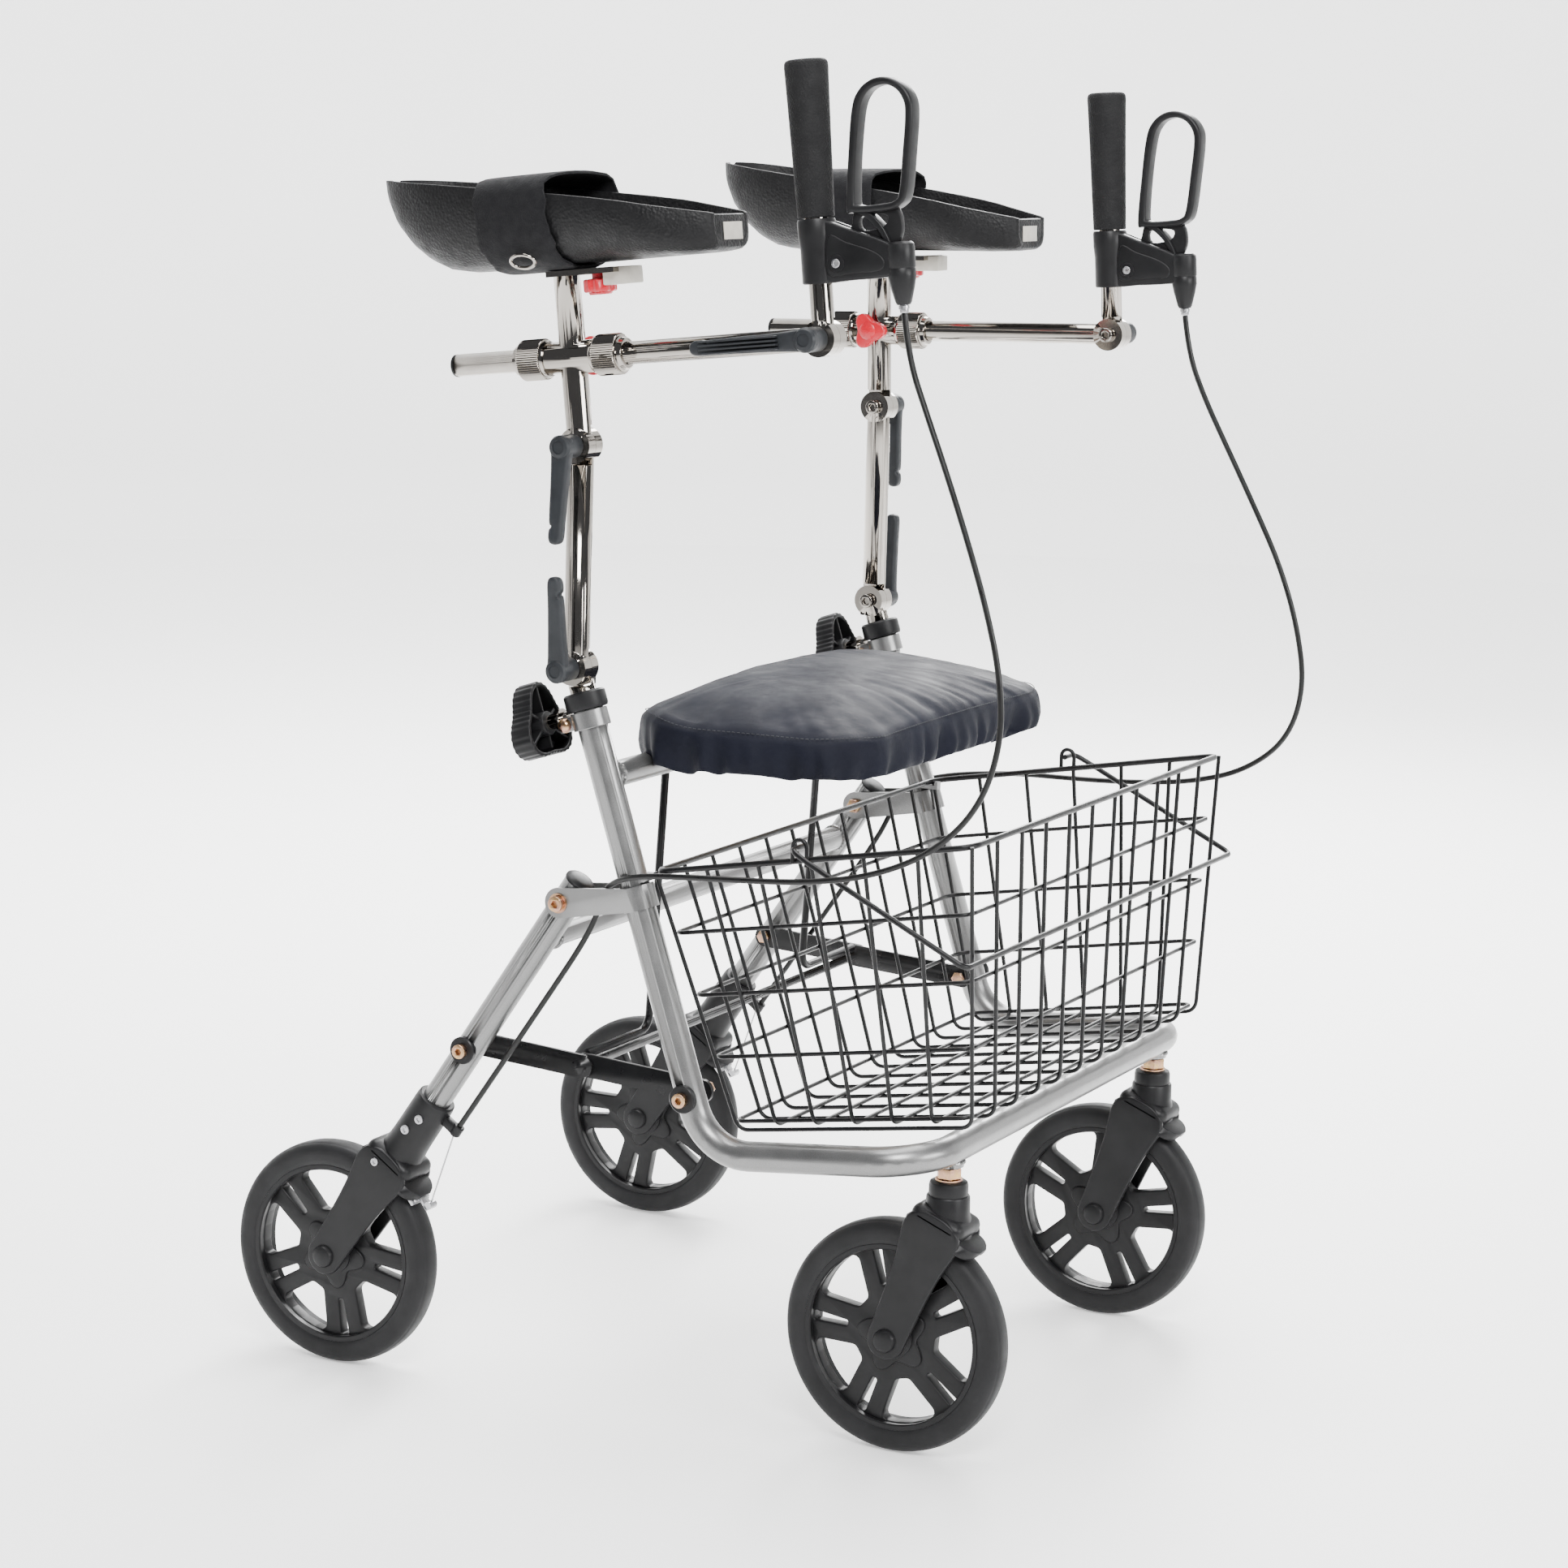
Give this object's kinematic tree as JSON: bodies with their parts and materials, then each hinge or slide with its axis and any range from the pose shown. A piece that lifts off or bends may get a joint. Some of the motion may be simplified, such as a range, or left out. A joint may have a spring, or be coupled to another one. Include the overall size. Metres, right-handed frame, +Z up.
{
  "type": "walking frame",
  "caption": "Wheeled walking frame with forearm troughs, upright hand grips, loop brake levers, padded seat and wire basket.",
  "frame": {"origin": "on the floor, midway between the four wheels", "axes": "+Z up, -Y forward, +X to the user's left"},
  "size_m": [0.669, 0.7671, 1.1441],
  "materials": {
    "silver_paint": "metallic silver paint",
    "black_metal": "satin black",
    "zinc_yellow": "yellow zinc plate",
    "steel_grey": "zinc plate",
    "chrome": "polished",
    "black_plastic": "moulded",
    "charcoal_plastic": "moulded",
    "red_plastic": "moulded",
    "tyre": "matte",
    "grip_foam": "pebbled",
    "cover_fabric": "woven nylon",
    "seat_board": "plain",
    "cable_sheath": "smooth"
  },
  "bodies": {
    "frame": {"front_frame": "silver_paint", "pivot_brackets": "silver_paint", "post_collars": "black_plastic", "frame_fasteners": "zinc_yellow", "height_knobs": "black_plastic", "cable_right": "cable_sheath", "cable_left": "cable_sheath"},
    "rear_frame": {"rear_legs": "silver_paint", "rear_forks": "black_plastic", "leg_caps": "black_plastic", "rear_fasteners": "zinc_yellow"},
    "brace_front": {"front_links": "black_metal"},
    "brace_rear": {"rear_links": "black_metal"},
    "seat_lift": {"seat_board": "seat_board", "seat_cushion": "cover_fabric", "pull_bar": "black_metal"},
    "basket": {"wire_basket": "black_metal"},
    "bail": {"basket_bail": "black_metal"},
    "caster_right": {"caster_fork_right": "black_plastic"},
    "front_wheel_right": {"front_rim_right": "black_plastic", "front_tyre_right": "tyre"},
    "rear_wheel_right": {"rear_rim_right": "black_plastic", "rear_tyre_right": "tyre"},
    "shoe_right": {"brake_shoe_right": "steel_grey"},
    "height_right": {"height_post_right": "chrome"},
    "link_right": {"link_post_right": "chrome"},
    "lower_clamp_right": {"lower_lever_right": "charcoal_plastic"},
    "upper_clamp_right": {"upper_lever_right": "charcoal_plastic"},
    "cross_right": {"arm_cross_right": "chrome", "collet_rings_right": "chrome", "red_knobs_right": "red_plastic"},
    "armrest_right": {"armrest_gutter_right": "black_plastic", "armrest_strap_right": "cover_fabric"},
    "tube_right": {"handle_tube_right": "chrome"},
    "handle_clamp_right": {"handle_lever_right": "charcoal_plastic"},
    "handle_right": {"handle_stem_right": "chrome", "hand_grip_right": "grip_foam", "brake_body_right": "black_plastic"},
    "lever_right": {"brake_lever_right": "black_plastic"},
    "caster_left": {"caster_fork_left": "black_plastic"},
    "front_wheel_left": {"front_rim_left": "black_plastic", "front_tyre_left": "tyre"},
    "rear_wheel_left": {"rear_rim_left": "black_plastic", "rear_tyre_left": "tyre"},
    "shoe_left": {"brake_shoe_left": "steel_grey"},
    "height_left": {"height_post_left": "chrome"},
    "link_left": {"link_post_left": "chrome"},
    "lower_clamp_left": {"lower_lever_left": "charcoal_plastic"},
    "upper_clamp_left": {"upper_lever_left": "charcoal_plastic"},
    "cross_left": {"arm_cross_left": "chrome", "collet_rings_left": "chrome", "red_knobs_left": "red_plastic"},
    "armrest_left": {"armrest_gutter_left": "black_plastic", "armrest_strap_left": "cover_fabric"},
    "tube_left": {"handle_tube_left": "chrome"},
    "handle_clamp_left": {"handle_lever_left": "charcoal_plastic"},
    "handle_left": {"handle_stem_left": "chrome", "hand_grip_left": "grip_foam", "brake_body_left": "black_plastic"},
    "lever_left": {"brake_lever_left": "black_plastic"}
  },
  "joints": [
    {"name": "rear_fold", "type": "hinge", "parent": "frame", "child": "rear_frame", "pos_m": [0, 0.0313, 0.444], "axis": [-1, 0, 0], "range_deg": [0, 28], "deforming": ["cable_right", "cable_left"]},
    {"name": "front_link_hinge", "type": "hinge", "parent": "frame", "child": "brace_front", "pos_m": [0, -0.0907, 0.292], "axis": [1, 0, 0], "range_deg": [0, 36.6]},
    {"name": "rear_link_hinge", "type": "hinge", "parent": "rear_frame", "child": "brace_rear", "pos_m": [0, 0.12515, 0.30345], "axis": [-1, 0, 0], "range_deg": [0, 36.1]},
    {"name": "seat_slide", "type": "slide", "parent": "frame", "child": "seat_lift", "axis": [0, -0.0504, 0.9987], "range_m": [0, 0.0667]},
    {"name": "basket_lift", "type": "slide", "parent": "frame", "child": "basket", "axis": [0, -0.5, 0.866], "range_m": [0, 0.08]},
    {"name": "bail_hinge", "type": "hinge", "parent": "basket", "child": "bail", "pos_m": [0, -0.184, 0.513], "axis": [-1, 0, 0], "range_deg": [0, 110]},
    {"name": "caster_swivel_right", "type": "hinge", "parent": "frame", "child": "caster_right", "pos_m": [-0.219, -0.304, 0.22], "axis": [0, 0, 1], "continuous": true},
    {"name": "front_wheel_spin_right", "type": "hinge", "parent": "caster_right", "child": "front_wheel_right", "pos_m": [-0.219, -0.261, 0.1], "axis": [1, 0, 0], "continuous": true},
    {"name": "rear_wheel_spin_right", "type": "hinge", "parent": "rear_frame", "child": "rear_wheel_right", "pos_m": [-0.276, 0.261, 0.1], "axis": [1, 0, 0], "continuous": true},
    {"name": "shoe_slide_right", "type": "slide", "parent": "rear_frame", "child": "shoe_right", "axis": [0, 0.7859, -0.6183], "range_m": [0, 0.0015]},
    {"name": "height_slide_right", "type": "slide", "parent": "frame", "child": "height_right", "axis": [0, 0.3187, 0.9478], "range_m": [0, 0.12]},
    {"name": "lower_tilt_right", "type": "hinge", "parent": "height_right", "child": "link_right", "pos_m": [-0.276, 0.0265, 0.6425], "axis": [1, 0, 0], "range_deg": [-20, 20]},
    {"name": "upper_tilt_right", "type": "hinge", "parent": "link_right", "child": "cross_right", "pos_m": [-0.276, 0.0265, 0.827], "axis": [1, 0, 0], "range_deg": [-20, 20]},
    {"name": "lower_clamp_turn_right", "type": "hinge", "parent": "link_right", "child": "lower_clamp_right", "pos_m": [-0.276, 0.0265, 0.6425], "axis": [1, 0, 0], "range_deg": [-40, 40]},
    {"name": "upper_clamp_turn_right", "type": "hinge", "parent": "link_right", "child": "upper_clamp_right", "pos_m": [-0.276, 0.0265, 0.827], "axis": [1, 0, 0], "range_deg": [-40, 40]},
    {"name": "armrest_slide_right", "type": "slide", "parent": "cross_right", "child": "armrest_right", "axis": [0, -0.993, 0.1184], "range_m": [-0.02, 0.01]},
    {"name": "handle_slide_right", "type": "slide", "parent": "cross_right", "child": "tube_right", "axis": [0, -0.993, 0.1184], "range_m": [-0.03, 0.05]},
    {"name": "handle_clamp_turn_right", "type": "hinge", "parent": "tube_right", "child": "handle_clamp_right", "pos_m": [-0.276, -0.19534, 0.92596], "axis": [1, 0, 0], "range_deg": [-40, 40]},
    {"name": "handle_tilt_right", "type": "hinge", "parent": "tube_right", "child": "handle_right", "pos_m": [-0.276, -0.19534, 0.92596], "axis": [1, 0, 0], "range_deg": [-10, 30]},
    {"name": "brake_pull_right", "type": "hinge", "parent": "handle_right", "child": "lever_right", "pos_m": [-0.276, -0.20946, 0.98584], "axis": [-1, 0, 0], "range_deg": [0, 8], "stiffness_Nm_per_rad": 1.5, "springref_deg": -5.73},
    {"name": "caster_swivel_left", "type": "hinge", "parent": "frame", "child": "caster_left", "pos_m": [0.219, -0.304, 0.22], "axis": [0, 0, 1], "continuous": true},
    {"name": "front_wheel_spin_left", "type": "hinge", "parent": "caster_left", "child": "front_wheel_left", "pos_m": [0.219, -0.261, 0.1], "axis": [1, 0, 0], "continuous": true},
    {"name": "rear_wheel_spin_left", "type": "hinge", "parent": "rear_frame", "child": "rear_wheel_left", "pos_m": [0.276, 0.261, 0.1], "axis": [1, 0, 0], "continuous": true},
    {"name": "shoe_slide_left", "type": "slide", "parent": "rear_frame", "child": "shoe_left", "axis": [0, 0.7859, -0.6183], "range_m": [0, 0.0015]},
    {"name": "height_slide_left", "type": "slide", "parent": "frame", "child": "height_left", "axis": [0, 0.3187, 0.9478], "range_m": [0, 0.12]},
    {"name": "lower_tilt_left", "type": "hinge", "parent": "height_left", "child": "link_left", "pos_m": [0.276, 0.0265, 0.6425], "axis": [1, 0, 0], "range_deg": [-20, 20]},
    {"name": "upper_tilt_left", "type": "hinge", "parent": "link_left", "child": "cross_left", "pos_m": [0.276, 0.0265, 0.827], "axis": [1, 0, 0], "range_deg": [-20, 20]},
    {"name": "lower_clamp_turn_left", "type": "hinge", "parent": "link_left", "child": "lower_clamp_left", "pos_m": [0.276, 0.0265, 0.6425], "axis": [1, 0, 0], "range_deg": [-40, 40]},
    {"name": "upper_clamp_turn_left", "type": "hinge", "parent": "link_left", "child": "upper_clamp_left", "pos_m": [0.276, 0.0265, 0.827], "axis": [1, 0, 0], "range_deg": [-40, 40]},
    {"name": "armrest_slide_left", "type": "slide", "parent": "cross_left", "child": "armrest_left", "axis": [0, -0.9994, 0.0349], "range_m": [-0.02, 0.01]},
    {"name": "handle_slide_left", "type": "slide", "parent": "cross_left", "child": "tube_left", "axis": [0, -0.9994, 0.0349], "range_m": [-0.03, 0.05]},
    {"name": "handle_clamp_turn_left", "type": "hinge", "parent": "tube_left", "child": "handle_clamp_left", "pos_m": [0.276, -0.20884, 0.90726], "axis": [1, 0, 0], "range_deg": [-40, 40]},
    {"name": "handle_tilt_left", "type": "hinge", "parent": "tube_left", "child": "handle_left", "pos_m": [0.276, -0.20884, 0.90726], "axis": [1, 0, 0], "range_deg": [-10, 30]},
    {"name": "brake_pull_left", "type": "hinge", "parent": "handle_left", "child": "lever_left", "pos_m": [0.276, -0.22514, 0.96658], "axis": [-1, 0, 0], "range_deg": [0, 8], "stiffness_Nm_per_rad": 1.5, "springref_deg": -5.73}
  ],
  "couplings": [
    {"joint": "front_link_hinge", "follows": "rear_fold", "ratio": 1.2886},
    {"joint": "rear_link_hinge", "follows": "rear_fold", "ratio": 1.2698},
    {"joint": "seat_slide", "follows": "rear_fold", "m_per_rad": 0.13548},
    {"joint": "shoe_slide_right", "follows": "brake_pull_right", "m_per_rad": 0.010743},
    {"joint": "shoe_slide_left", "follows": "brake_pull_left", "m_per_rad": 0.010743}
  ]
}
